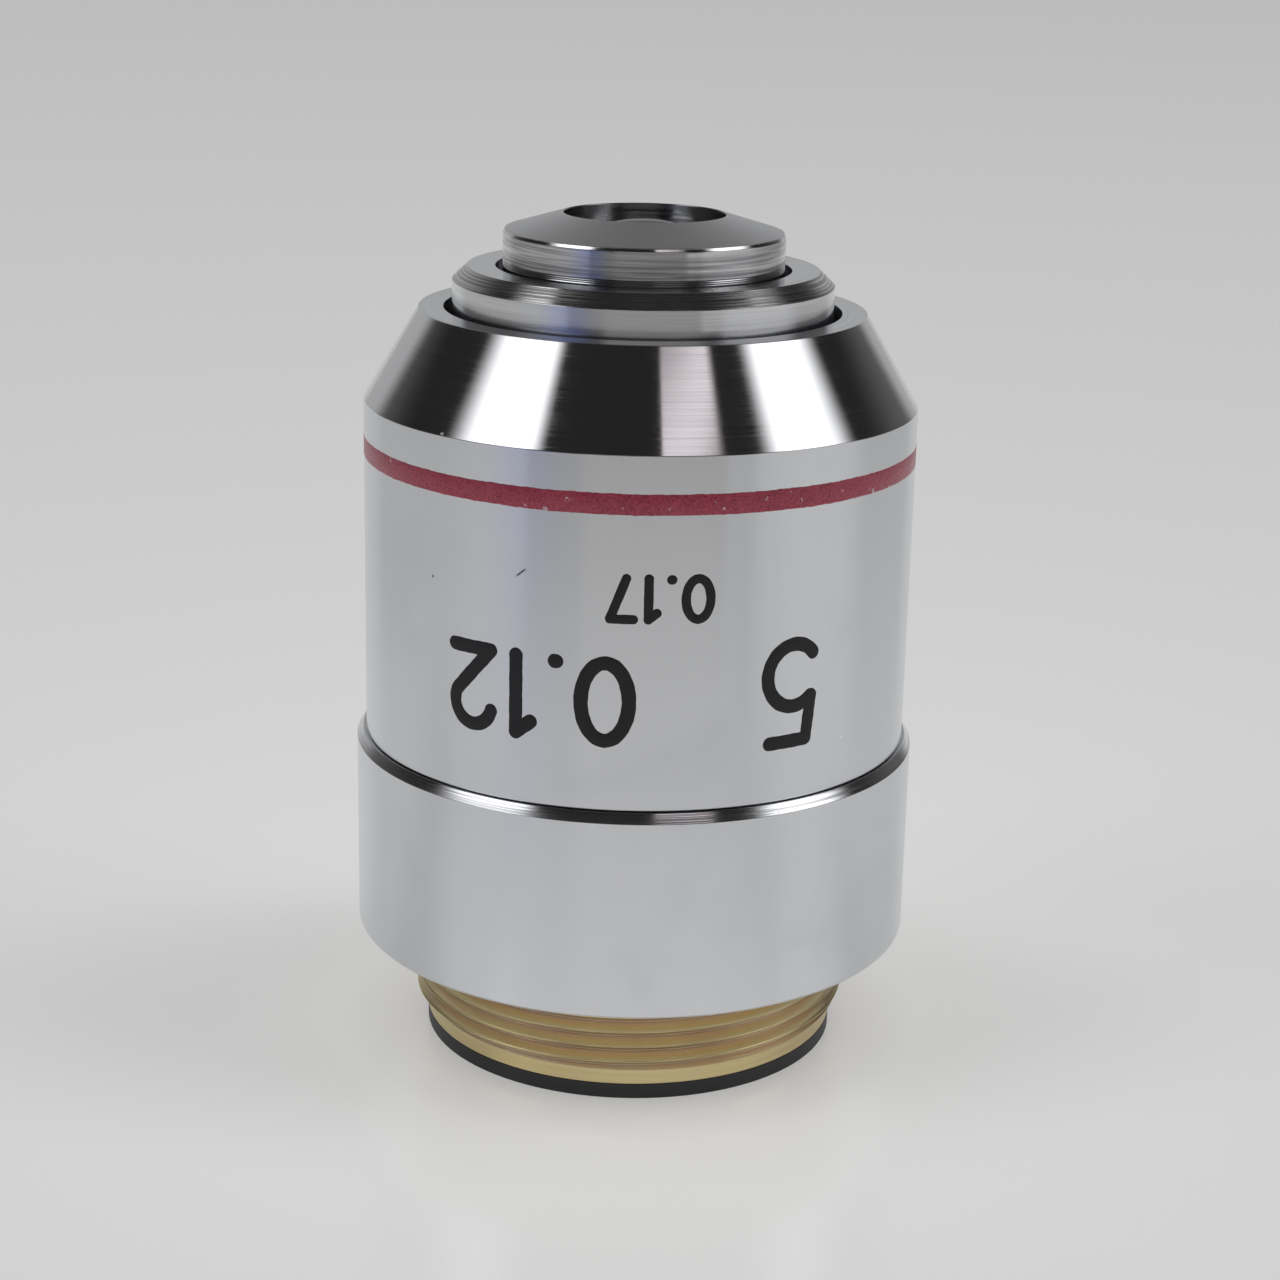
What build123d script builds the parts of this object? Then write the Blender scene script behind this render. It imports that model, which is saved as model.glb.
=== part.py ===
from build123d import *
import os
from math import inf, sqrt

# A low-power microscope objective with the standard 0.8 inch objective thread, in millimetres.
# The origin is the centre of the mounting shoulder. +Z runs along the optical axis to the front lens.

# Standard distances from the specimen
parfocal_distance = 45.0        # specimen to mounting shoulder
working_distance = 11.96        # specimen to the tip of the nose

# Thread end
thread_diameter = 20.32         # 0.8 inch, crest of the thread
thread_length = 3.93
thread_chamfer = 0.3
pilot_diameter = 19.28
pilot_length = 0.73
rear_wall = 1.04                # round the rear bore, at its thinnest place

# Rear stop
stop_flange_height = 0.68
stop_skirt_length = 2.06
stop_skirt_wall = 0.98
stop_wall = 0.8                 # the plate that the aperture is bored in
stop_aperture_diameter = 10.4
spanner_hole_diameter = 1.0
spanner_hole_depth = 0.4

# Base
base_height = 9.0
base_step = 0.42                # the base stands this far out from the sleeve
base_chamfer_height = 0.38
flange_edge_chamfer = 0.15
spigot_height = 4.1

# Sleeve and its colour band
sleeve_diameter = 24.96
sleeve_wall = 1.08
sleeve_end_wall = 4.3           # solid front end behind the cone
cone_height = 4.1
cone_rim_width = 1.11
band_width = 0.85
band_depth = 0.15
band_drop = 1.6                 # from the foot of the cone to the band

# Nose
nose_diameter = 12.45
nose_projection = 1.27          # straight side, from the barrel to the chamfer
nose_chamfer_width = 0.14
nose_chamfer_height = 0.25
nose_cone_height = 0.65
front_opening_diameter = 7.2
front_gap = 0.38                # round the nose and round the barrel

# Barrel
barrel_face_width = 1.245       # flat front face, from the gap to the bevel
barrel_bevel_width = 0.68
barrel_bevel_height = 0.85
barrel_wall = 1.13
barrel_projection = 2.05        # past the sleeve
barrel_lip = 1.2
barrel_thread_spare = 0.8       # thread above the lock ring
barrel_rear_height = 1.8        # above the shoulder
barrel_rear_recess = 0.77       # from the barrel's end to its ring
parfocal_travel = 0.8           # room to set the barrel's height
lock_ring_length = 2.0
lock_ring_width = 0.8
lock_notch_width = 1.6
lock_notch_depth = 0.4
lock_notches = 4

# Clearances
fit_clearance = 0.02            # on the radius, for screwed and sliding pieces
seat_clearance = 0.01           # along the axis, between a polished surface and its seat
cement_thickness = 0.01

# Lens mounting, the same in every cell
cell_lip = 0.8                  # thickness of the lip in front of the lens
lens_seat_width = 0.5
lens_ring_width = 0.7
lens_ring_length = 1.2
lens_ring_recess = 0.2          # from the ring to the cell's rear face
spanner_slot_width = 1.0
spanner_slot_depth = 0.5

# Lens curves are positive where the centre of the sphere lies behind the surface
flat = inf

# Front lens
front_lens_recess = 0.3         # vertex below the tip of the nose
front_lens_edge = 1.45          # thickness at the rim
front_lens_front_curve = 7.0

# Middle lens
middle_cell_wall = 1.96
middle_lens_edge = 1.4
middle_lens_rear_curve = -15.0

# Field lens
field_cell_wall = 2.16
field_lens_thickness = 1.2      # at the centre
field_lens_front_curve = -11.0

# Rear doublet
rear_cell_wall = 1.16
rear_flint_thickness = 1.2      # at the centre
rear_crown_edge = 0.85
rear_lens_cemented_curve = 16.0
rear_lens_rear_curve = -18.0

# Stack
front_spacer_length = 1.2
middle_spacer_length = 1.2
spacer_wall = 1.2
barrel_ring_length = 1.5
barrel_ring_width = 1.4


def sag(curve, height):
    # How far a polished surface falls from its vertex at a height from the axis
    return height**2 / (curve * (1 + sqrt(1 - (height / curve) ** 2)))


def turn(outline):
    # A piece turned on the lathe: a closed outline of (radius, height) points about the optical axis
    with BuildSketch(Plane.XZ) as section:
        with BuildLine():
            Polyline(*outline, close=True)
        make_face()
    revolve(section.sketch, axis=Axis.Z)


def tube(inner_radius, outer_radius, bottom, top):
    turn([(inner_radius, bottom), (outer_radius, bottom), (outer_radius, top), (inner_radius, top)])


def slotted_ring(outer_radius, width, rear, front):
    # A threaded retaining ring with a spanner slot right across its rear face
    tube(outer_radius - width, outer_radius, rear, front)
    slot_length = 2 * (outer_radius + fit_clearance)
    with Locations((0, 0, rear)):
        Box(slot_length, spanner_slot_width, 2 * spanner_slot_depth, mode=Mode.SUBTRACT)


def polished_surface(vertex, curve, radius):
    # The half-section of one lens surface, from the axis to its rim
    rim = vertex - sag(curve, radius)
    if curve == flat:
        Line((0, vertex), (radius, rim))
    else:
        ThreePointArc((0, vertex), (radius / 2, vertex - sag(curve, radius / 2)), (radius, rim))


def lens(front, front_curve, rear, rear_curve, radius):
    # A lens between two vertex heights, polished out to its edge
    with BuildSketch(Plane.XZ) as section:
        with BuildLine():
            polished_surface(front, front_curve, radius)
            Line((radius, front - sag(front_curve, radius)), (radius, rear - sag(rear_curve, radius)))
            polished_surface(rear, rear_curve, radius)
            Line((0, rear), (0, front))
        make_face()
    revolve(section.sketch, axis=Axis.Z)


def lens_cell(front, rear, seat, lens_radius):
    # A cell that takes its lens from the rear, against a lip, with the lens's ring in the same bore
    lens_bore = lens_radius + fit_clearance
    aperture_radius = lens_radius - lens_seat_width
    turn([
        (aperture_radius, front),
        (cell_radius, front),
        (cell_radius, rear),
        (lens_bore, rear),
        (lens_bore, seat),
        (aperture_radius, seat),
    ])


# Radii of the base, sleeve and rear stop
thread_radius = thread_diameter / 2
pilot_radius = pilot_diameter / 2
rear_bore_radius = min(pilot_radius, thread_radius - thread_chamfer) - rear_wall
stop_skirt_radius = rear_bore_radius - fit_clearance
stop_recess_radius = stop_skirt_radius - stop_skirt_wall
stop_aperture_radius = stop_aperture_diameter / 2
sleeve_radius = sleeve_diameter / 2
sleeve_bore_radius = sleeve_radius - sleeve_wall
spigot_radius = sleeve_bore_radius - fit_clearance
base_radius = sleeve_radius + base_step

# Radii of the nose and barrel, from the nose out. The barrel's thread runs midway to the sleeve's bore.
nose_radius = nose_diameter / 2
opening_radius = front_opening_diameter / 2
barrel_hole_radius = nose_radius + front_gap
barrel_face_radius = barrel_hole_radius + barrel_face_width
barrel_radius = barrel_face_radius + barrel_bevel_width
barrel_bore_radius = barrel_radius - barrel_wall
barrel_thread_radius = (barrel_bore_radius + sleeve_bore_radius) / 2
barrel_thread_bore = barrel_thread_radius + fit_clearance
sleeve_hole_radius = barrel_radius + front_gap
lock_ring_radius = barrel_thread_bore + lock_ring_width

# Radii of the lens stack
cell_radius = barrel_bore_radius - fit_clearance
spacer_bore_radius = cell_radius - spacer_wall
front_lens_radius = opening_radius + lens_seat_width
middle_lens_radius = cell_radius - middle_cell_wall - fit_clearance
field_lens_radius = cell_radius - field_cell_wall - fit_clearance
rear_lens_radius = cell_radius - rear_cell_wall - fit_clearance
field_hollow_radius = field_lens_radius - lens_seat_width

# Heights of the outer body
thread_end = -thread_length
pilot_end = thread_end - pilot_length
rear_face = pilot_end - stop_flange_height
stop_front = pilot_end + stop_skirt_length
base_floor = barrel_rear_height - parfocal_travel
sleeve_foot = base_height + base_chamfer_height
spigot_top = sleeve_foot + spigot_height
lock_ring_top = spigot_top + lock_ring_length
barrel_thread_top = lock_ring_top + barrel_thread_spare
nose_tip = parfocal_distance - working_distance
nose_cone_foot = nose_tip - nose_cone_height
nose_edge = nose_cone_foot - nose_chamfer_height
barrel_front = nose_edge - nose_projection
barrel_lip_seat = barrel_front - barrel_lip
sleeve_top = barrel_front - barrel_projection
cone_foot = sleeve_top - cone_height
band_top = cone_foot - band_drop
band_foot = band_top - band_width

# Heights of the lens stack, from the nose down
front_lens_front = nose_tip - front_lens_recess
front_lens_rear = front_lens_front - sag(front_lens_front_curve, front_lens_radius) - front_lens_edge
front_lens_seat = front_lens_front - sag(front_lens_front_curve, opening_radius) + seat_clearance
front_ring_front = front_lens_rear - seat_clearance
front_ring_rear = front_ring_front - lens_ring_length
front_cell_rear = front_ring_rear - lens_ring_recess

middle_cell_front = front_cell_rear - front_spacer_length
middle_lens_seat = middle_cell_front - cell_lip
middle_lens_front = middle_lens_seat - seat_clearance
middle_lens_rear = middle_lens_front - middle_lens_edge + sag(middle_lens_rear_curve, middle_lens_radius)
middle_lens_contact = middle_lens_rear - sag(middle_lens_rear_curve, middle_lens_radius - lens_ring_width)
middle_ring_front = middle_lens_contact - seat_clearance
middle_ring_rear = middle_ring_front - lens_ring_length
middle_cell_rear = middle_ring_rear - lens_ring_recess

field_cell_front = middle_cell_rear - middle_spacer_length
field_lens_seat = field_cell_front - cell_lip
field_lens_rim = field_lens_seat - seat_clearance
field_lens_front = field_lens_rim + sag(field_lens_front_curve, field_hollow_radius)
field_lens_rear = field_lens_front - field_lens_thickness
field_ring_front = field_lens_rear - seat_clearance
field_ring_rear = field_ring_front - lens_ring_length
field_cell_rear = field_ring_rear - lens_ring_recess

# Heights of the rear doublet, from the barrel's rear end up. The rear spacer fills the rest of the stack.
barrel_ring_rear = barrel_rear_height + barrel_rear_recess
rear_cell_rear = barrel_ring_rear + barrel_ring_length
rear_ring_rear = rear_cell_rear + lens_ring_recess
rear_ring_front = rear_ring_rear + lens_ring_length
rear_lens_contact = rear_ring_front + seat_clearance
rear_lens_rear = rear_lens_contact + sag(rear_lens_rear_curve, rear_lens_radius - lens_ring_width)
rear_crown_rim = rear_lens_rear - sag(rear_lens_rear_curve, rear_lens_radius) + rear_crown_edge
rear_crown_front = rear_crown_rim + sag(rear_lens_cemented_curve, rear_lens_radius)
rear_flint_rear = rear_crown_front + cement_thickness
rear_lens_front = rear_flint_rear + rear_flint_thickness
rear_lens_seat = rear_lens_front + seat_clearance
rear_cell_front = rear_lens_seat + cell_lip

# Base: flange, thread, pilot and the spigot that carries the sleeve, turned in one piece
with BuildPart() as base:
    turn([
        (rear_bore_radius, pilot_end),
        (pilot_radius, pilot_end),
        (pilot_radius, thread_end),
        (thread_radius - thread_chamfer, thread_end),
        (thread_radius, thread_end + thread_chamfer),
        (thread_radius, 0),
        (base_radius, 0),
        (base_radius, base_height),
        (sleeve_radius, sleeve_foot),
        (spigot_radius, sleeve_foot),
        (spigot_radius, spigot_top),
        (barrel_thread_bore, spigot_top),
        (barrel_thread_bore, base_floor),
        (rear_bore_radius, base_floor),
    ])
    flange_edge = base.edges().filter_by_position(Axis.Z, 0, 0).sort_by(SortBy.RADIUS)[-1]
    chamfer(flange_edge, length=flange_edge_chamfer)
base.part.label = "base"

# Sleeve: screwed on the spigot, seated on the base, with a groove for the colour band
with BuildPart() as outer_sleeve:
    turn([
        (sleeve_bore_radius, sleeve_foot),
        (sleeve_radius, sleeve_foot),
        (sleeve_radius, cone_foot),
        (sleeve_hole_radius + cone_rim_width, sleeve_top),
        (sleeve_hole_radius, sleeve_top),
        (sleeve_hole_radius, sleeve_top - sleeve_end_wall),
        (sleeve_bore_radius, sleeve_top - sleeve_end_wall),
    ])
    with BuildSketch(Plane.XY.offset(band_foot)):
        Circle(sleeve_radius)
        Circle(sleeve_radius - band_depth, mode=Mode.SUBTRACT)
    extrude(amount=band_width, mode=Mode.SUBTRACT)
outer_sleeve.part.label = "outer_sleeve"

with BuildPart() as colour_band:
    tube(sleeve_radius - band_depth, sleeve_radius, band_foot, band_top)
colour_band.part.label = "colour_band"

# Barrel: screwed into the base, with a lip at its front that the front cell seats on
with BuildPart() as lens_barrel:
    turn([
        (barrel_bore_radius, barrel_rear_height),
        (barrel_thread_radius, barrel_rear_height),
        (barrel_thread_radius, barrel_thread_top),
        (barrel_radius, barrel_thread_top),
        (barrel_radius, barrel_front - barrel_bevel_height),
        (barrel_face_radius, barrel_front),
        (barrel_hole_radius, barrel_front),
        (barrel_hole_radius, barrel_lip_seat),
        (barrel_bore_radius, barrel_lip_seat),
    ])
lens_barrel.part.label = "lens_barrel"

# Lock ring: screwed down on the spigot, notched for a spanner
with BuildPart() as parfocal_lock_ring:
    tube(barrel_thread_bore, lock_ring_radius, spigot_top, lock_ring_top)
    with BuildSketch(Plane.XY.offset(lock_ring_top)):
        with PolarLocations(lock_ring_radius, lock_notches):
            Rectangle(2 * lock_notch_depth, lock_notch_width)
    extrude(amount=-lock_ring_length, mode=Mode.SUBTRACT)
parfocal_lock_ring.part.label = "parfocal_lock_ring"

# Nose: its flange seats under the barrel's lip, and the front lens seats under its opening
with BuildPart() as front_cell:
    front_lens_bore = front_lens_radius + fit_clearance
    turn([
        (opening_radius, nose_tip),
        (nose_radius - nose_chamfer_width, nose_cone_foot),
        (nose_radius, nose_edge),
        (nose_radius, barrel_lip_seat),
        (cell_radius, barrel_lip_seat),
        (cell_radius, front_cell_rear),
        (front_lens_bore, front_cell_rear),
        (front_lens_bore, front_lens_seat),
        (opening_radius, front_lens_seat),
    ])
front_cell.part.label = "front_cell"

with BuildPart() as front_lens:
    lens(front_lens_front, front_lens_front_curve, front_lens_rear, flat, front_lens_radius)
front_lens.part.label = "front_lens"

with BuildPart() as front_lens_ring:
    slotted_ring(front_lens_radius, lens_ring_width, front_ring_rear, front_ring_front)
front_lens_ring.part.label = "front_lens_ring"

with BuildPart() as front_spacer:
    tube(spacer_bore_radius, cell_radius, middle_cell_front, front_cell_rear)
front_spacer.part.label = "front_spacer"

# Middle lens, flat in front and bulging behind
with BuildPart() as middle_cell:
    lens_cell(middle_cell_front, middle_cell_rear, middle_lens_seat, middle_lens_radius)
middle_cell.part.label = "middle_cell"

with BuildPart() as middle_lens:
    lens(middle_lens_front, flat, middle_lens_rear, middle_lens_rear_curve, middle_lens_radius)
middle_lens.part.label = "middle_lens"

with BuildPart() as middle_lens_ring:
    slotted_ring(middle_lens_radius, lens_ring_width, middle_ring_rear, middle_ring_front)
middle_lens_ring.part.label = "middle_lens_ring"

with BuildPart() as middle_spacer:
    tube(spacer_bore_radius, cell_radius, field_cell_front, middle_cell_rear)
middle_spacer.part.label = "middle_spacer"

# Field lens, hollow in front with a flat rim round the hollow
with BuildPart() as field_cell:
    lens_cell(field_cell_front, field_cell_rear, field_lens_seat, field_lens_radius)
field_cell.part.label = "field_cell"

with BuildPart() as field_lens:
    with BuildSketch(Plane.XZ):
        with BuildLine():
            polished_surface(field_lens_front, field_lens_front_curve, field_hollow_radius)
            Polyline(
                (field_hollow_radius, field_lens_rim),
                (field_lens_radius, field_lens_rim),
                (field_lens_radius, field_lens_rear),
                (0, field_lens_rear),
                (0, field_lens_front),
            )
        make_face()
    revolve(axis=Axis.Z)
field_lens.part.label = "field_lens"

with BuildPart() as field_lens_ring:
    slotted_ring(field_lens_radius, lens_ring_width, field_ring_rear, field_ring_front)
field_lens_ring.part.label = "field_lens_ring"

with BuildPart() as rear_spacer:
    tube(spacer_bore_radius, cell_radius, rear_cell_front, field_cell_rear)
rear_spacer.part.label = "rear_spacer"

# Rear doublet: a flint and a crown cemented together
with BuildPart() as rear_cell:
    lens_cell(rear_cell_front, rear_cell_rear, rear_lens_seat, rear_lens_radius)
rear_cell.part.label = "rear_cell"

with BuildPart() as rear_flint:
    lens(rear_lens_front, flat, rear_flint_rear, rear_lens_cemented_curve, rear_lens_radius)
rear_flint.part.label = "rear_flint"

with BuildPart() as rear_crown:
    lens(rear_crown_front, rear_lens_cemented_curve, rear_lens_rear, rear_lens_rear_curve, rear_lens_radius)
rear_crown.part.label = "rear_crown"

with BuildPart() as rear_lens_ring:
    slotted_ring(rear_lens_radius, lens_ring_width, rear_ring_rear, rear_ring_front)
rear_lens_ring.part.label = "rear_lens_ring"

with BuildPart() as barrel_ring:
    slotted_ring(cell_radius, barrel_ring_width, barrel_ring_rear, rear_cell_rear)
barrel_ring.part.label = "barrel_ring"

# Rear stop: screwed into the pilot, with its flange on the pilot's end and the aperture stop inside
with BuildPart() as rear_stop:
    turn([
        (stop_recess_radius, rear_face),
        (pilot_radius, rear_face),
        (pilot_radius, pilot_end),
        (stop_skirt_radius, pilot_end),
        (stop_skirt_radius, stop_front),
        (stop_aperture_radius, stop_front),
        (stop_aperture_radius, stop_front - stop_wall),
        (stop_recess_radius, stop_front - stop_wall),
    ])
    with BuildSketch(Plane.XY.offset(rear_face)):
        with PolarLocations((stop_recess_radius + pilot_radius) / 2, 2):
            Circle(spanner_hole_diameter / 2)
    extrude(amount=spanner_hole_depth, mode=Mode.SUBTRACT)
rear_stop.part.label = "rear_stop"

pieces = [
    base, outer_sleeve, colour_band, lens_barrel, parfocal_lock_ring,
    front_cell, front_lens, front_lens_ring, front_spacer,
    middle_cell, middle_lens, middle_lens_ring, middle_spacer,
    field_cell, field_lens, field_lens_ring, rear_spacer,
    rear_cell, rear_flint, rear_crown, rear_lens_ring, barrel_ring, rear_stop,
]
os.makedirs("parts", exist_ok=True)
for piece in pieces:
    export_step(piece.part, f"parts/{piece.part.label}.step")
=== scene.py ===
import bpy
import numpy as np
from mathutils import Matrix, Vector


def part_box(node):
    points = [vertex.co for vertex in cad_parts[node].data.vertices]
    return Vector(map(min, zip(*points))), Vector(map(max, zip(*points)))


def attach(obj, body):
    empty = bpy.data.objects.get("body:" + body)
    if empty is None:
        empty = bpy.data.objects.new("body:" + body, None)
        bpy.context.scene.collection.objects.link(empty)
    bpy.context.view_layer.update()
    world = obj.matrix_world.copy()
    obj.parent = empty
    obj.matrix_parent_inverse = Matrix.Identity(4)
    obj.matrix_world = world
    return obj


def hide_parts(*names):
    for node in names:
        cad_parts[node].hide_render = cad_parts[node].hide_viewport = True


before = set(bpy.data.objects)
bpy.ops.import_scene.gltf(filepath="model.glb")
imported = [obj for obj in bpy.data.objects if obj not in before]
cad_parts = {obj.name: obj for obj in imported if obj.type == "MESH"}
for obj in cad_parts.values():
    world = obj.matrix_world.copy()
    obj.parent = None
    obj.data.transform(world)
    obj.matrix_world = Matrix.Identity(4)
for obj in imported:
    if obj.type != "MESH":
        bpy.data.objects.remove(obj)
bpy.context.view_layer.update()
mm = 0.001
print("frame:", len(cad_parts), "nodes")


def reach(node):
    # outer radius, foot and top of a turned node, in millimetres
    low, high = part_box(node)
    return high.x / mm, low.z / mm, high.z / mm


baseRadius, pilotEnd, spigotTop = reach("base")
sleeveRadius, sleeveFoot, sleeveTop = reach("outer_sleeve")
bandRadius, bandFoot, bandTop = reach("colour_band")
barrelThreadRadius, barrelFoot = reach("lens_barrel")[:2]
cellRadius, cellRear, noseTip = reach("front_cell")
lensRadius, lensRear, lensFront = reach("front_lens")
rearFace = reach("rear_stop")[1]


# Node helpers

def put(tree, kind, sockets=None, **settings):
    # adds a node: plain values go on its sockets, and other nodes' outputs are linked to them
    node = tree.nodes.new("ShaderNode" + kind)
    for key, value in settings.items():
        setattr(node, key, value)
    for key, value in (sockets or {}).items():
        feed(tree, node.inputs[key], value)
    return node


def feed(tree, socket, value):
    if isinstance(value, bpy.types.NodeSocket):
        tree.links.new(value, socket)
    else:
        socket.default_value = value


def sums(tree, operation, *values):
    return put(tree, "Math", dict(enumerate(values)), operation=operation).outputs[0]


def ramped(tree, value, start, end, low=0.0, high=1.0, kind="LINEAR"):
    sockets = {"Value": value, "From Min": start, "From Max": end, "To Min": low, "To Max": high}
    return put(tree, "MapRange", sockets, interpolation_type=kind).outputs["Result"]


def between(tree, value, sides):
    # rises over the first pair of values and falls over the second
    rise = ramped(tree, value, sides[0], sides[1], kind="SMOOTHSTEP")
    return sums(tree, "MULTIPLY", rise, ramped(tree, value, sides[3], sides[2], kind="SMOOTHSTEP"))


def mixed(tree, factor, first, second, blend="MIX"):
    node = put(tree, "Mix", data_type="RGBA", blend_type=blend)
    for place, value in ((0, factor), (6, first), (7, second)):
        feed(tree, node.inputs[place], value)
    return node.outputs[2]


def colour(red, green, blue):
    return (red, green, blue, 1.0)


def newGroup(name, inputs, output):
    group = bpy.data.node_groups.new(name, "ShaderNodeTree")
    for label, value in inputs.items():
        socket = group.interface.new_socket(name=label, in_out="INPUT", socket_type="NodeSocketFloat")
        socket.default_value = value
    group.interface.new_socket(name=output, in_out="OUTPUT", socket_type="NodeSocketFloat")
    return group, group.nodes.new("NodeGroupInput").outputs, group.nodes.new("NodeGroupOutput").inputs


def useGroup(tree, group, **values):
    node = tree.nodes.new("ShaderNodeGroup")
    node.node_tree = group
    for label, value in values.items():
        node.inputs[label].default_value = value
    return node.outputs[0]


def hypotenuse(tree, x, y):
    squares = (sums(tree, "MULTIPLY", side, side) for side in (x, y))
    return sums(tree, "SQRT", sums(tree, "ADD", *squares))


def turnFromFront(tree, x, y):
    # angle round the axis, 0 towards the front and positive to the right of it
    return sums(tree, "ARCTAN2", x, sums(tree, "MULTIPLY", y, -1.0))


def objectPlace(tree):
    return put(tree, "TexCoord").outputs["Object"]


def objectAxes(tree):
    # x, y and z in the piece's own frame, where z runs along the optical axis
    return put(tree, "SeparateXYZ", {0: objectPlace(tree)}).outputs[:]


# Shared surface effects
noiseRange = (0.3, 0.7)         # nearly all of a noise's values lie between these
hazeEdge = dict(start=0.75, fall=0.5, width=0.25)       # the start falls as the cover grows
markCore = 0.4                  # share of a mark's half size that has its full strength


def makeTurnedLines():
    # the tool's feed marks: noise that runs fast with radius and height and slowly round the axis
    group, ends, result = newGroup("turnedLines", {"perMetre": 9000.0, "drift": 120.0}, "lines")
    x, y, z = objectAxes(group)
    radius = hypotenuse(group, x, y)
    across = put(group, "CombineXYZ", {
        0: sums(group, "MULTIPLY", radius, ends["perMetre"]),
        1: sums(group, "MULTIPLY", z, ends["perMetre"]),
        2: sums(group, "MULTIPLY", x, ends["drift"])}).outputs[0]
    along = sums(group, "MULTIPLY", y, ends["drift"])
    noise = put(group, "TexNoise", {"Vector": across, "W": along, "Scale": 1.0, "Detail": 2.0},
                noise_dimensions="4D")
    group.links.new(ramped(group, noise.outputs[0], *noiseRange), result[0])
    return group


def makeGrain():
    # fine even grain of a blasted, plated or lacquered surface
    group, ends, result = newGroup("fineGrain", {"perMetre": 20000.0, "roughness": 0.6}, "grain")
    noise = put(group, "TexNoise", {"Vector": objectPlace(group), "Scale": ends["perMetre"],
                                    "Roughness": ends["roughness"], "Detail": 2.0})
    group.links.new(ramped(group, noise.outputs[0], *noiseRange), result[0])
    return group


def makeHaze():
    # broad soft patches, as handling leaves them
    group, ends, result = newGroup("handlingHaze", {"perMetre": 160.0, "cover": 0.5}, "haze")
    noise = put(group, "TexNoise", {"Vector": objectPlace(group), "Scale": ends["perMetre"],
                                    "Detail": 3.0, "Distortion": 0.6})
    fallen = sums(group, "MULTIPLY", ends["cover"], hazeEdge["fall"])
    low = sums(group, "SUBTRACT", hazeEdge["start"], fallen)
    high = sums(group, "ADD", low, hazeEdge["width"])
    group.links.new(ramped(group, noise.outputs[0], low, high, kind="SMOOTHSTEP"), result[0])
    return group


def makeMark():
    # one scratch or speck on a turned wall: a short bar in unrolled angle and height, with soft ends
    inputs = {"angle": 0.0, "height": 0.0, "wall": 0.0125,
              "halfLength": 0.0005, "halfWidth": 0.00004, "slope": 0.0}
    group, ends, result = newGroup("wallMark", inputs, "mark")
    x, y, z = objectAxes(group)
    turn = turnFromFront(group, x, y)
    u = sums(group, "MULTIPLY", sums(group, "SUBTRACT", turn, ends["angle"]), ends["wall"])
    v = sums(group, "SUBTRACT", z, ends["height"])
    cosine, sine = sums(group, "COSINE", ends["slope"]), sums(group, "SINE", ends["slope"])
    along = sums(group, "ADD", sums(group, "MULTIPLY", u, cosine), sums(group, "MULTIPLY", v, sine))
    across = sums(group, "SUBTRACT", sums(group, "MULTIPLY", v, cosine), sums(group, "MULTIPLY", u, sine))
    farAlong = sums(group, "DIVIDE", sums(group, "ABSOLUTE", along), ends["halfLength"])
    farAcross = sums(group, "DIVIDE", sums(group, "ABSOLUTE", across), ends["halfWidth"])
    far = sums(group, "MAXIMUM", farAlong, farAcross)
    group.links.new(ramped(group, far, 1.0, markCore, kind="SMOOTHSTEP"), result[0])
    return group


turnedLines = makeTurnedLines()
fineGrain = makeGrain()
handlingHaze = makeHaze()
wallMark = makeMark()


def startMaterial(name, **sockets):
    material = bpy.data.materials.new(name)
    material.use_nodes = True
    tree = material.node_tree
    shader = tree.nodes["Principled BSDF"]
    for label, value in sockets.items():
        shader.inputs[label.replace("_", " ")].default_value = value
    return material, tree, shader


def dress(tree, shader, tone, roughness):
    tree.links.new(tone, shader.inputs["Base Color"])
    tree.links.new(roughness, shader.inputs["Roughness"])


def bumped(tree, shader, height, depth):
    # depth is the real height of the relief, in metres
    bump = put(tree, "Bump", {"Height": height, "Distance": depth, "Strength": 1.0})
    tree.links.new(bump.outputs[0], shader.inputs["Normal"])


def blurDownTheWall(tree, shader, amount):
    # fine marks round the axis stretch a reflection along the axis
    shader.inputs["Anisotropic"].default_value = amount
    shader.inputs["Anisotropic Rotation"].default_value = 0.25      # a quarter turn from the marks
    tangent = put(tree, "Tangent", direction_type="RADIAL", axis="Z")
    tree.links.new(tangent.outputs[0], shader.inputs["Tangent"])


# In the finishes below, relief and marks are in metres, and lines, grain and haze count per metre
satin = dict(
    light=(0.785, 0.795, 0.815), dull=(0.735, 0.745, 0.77), edgeTint=(0.93, 0.935, 0.94),
    roughness=(0.17, 0.23), stretch=0.95, relief=0.0000003, grainShare=0.5, textureShare=0.10,
    lines=dict(perMetre=14000.0, drift=200.0), grain=dict(perMetre=16000.0),
    haze=dict(perMetre=140.0, cover=0.5),
)
sleeveMarks = dict(
    scratch=dict(angle=-0.397, height=0.01948, halfLength=0.00035, halfWidth=0.00005, slope=0.70),
    dot=dict(angle=-0.770, height=0.01856, halfLength=0.00007, halfWidth=0.00007),
    speck=dict(angle=0.805, height=0.01163, halfLength=0.00007, halfWidth=0.00007),
)
markTones = dict(dark=(0.10, 0.10, 0.11), bare=(1.0, 1.0, 1.0))


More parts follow.
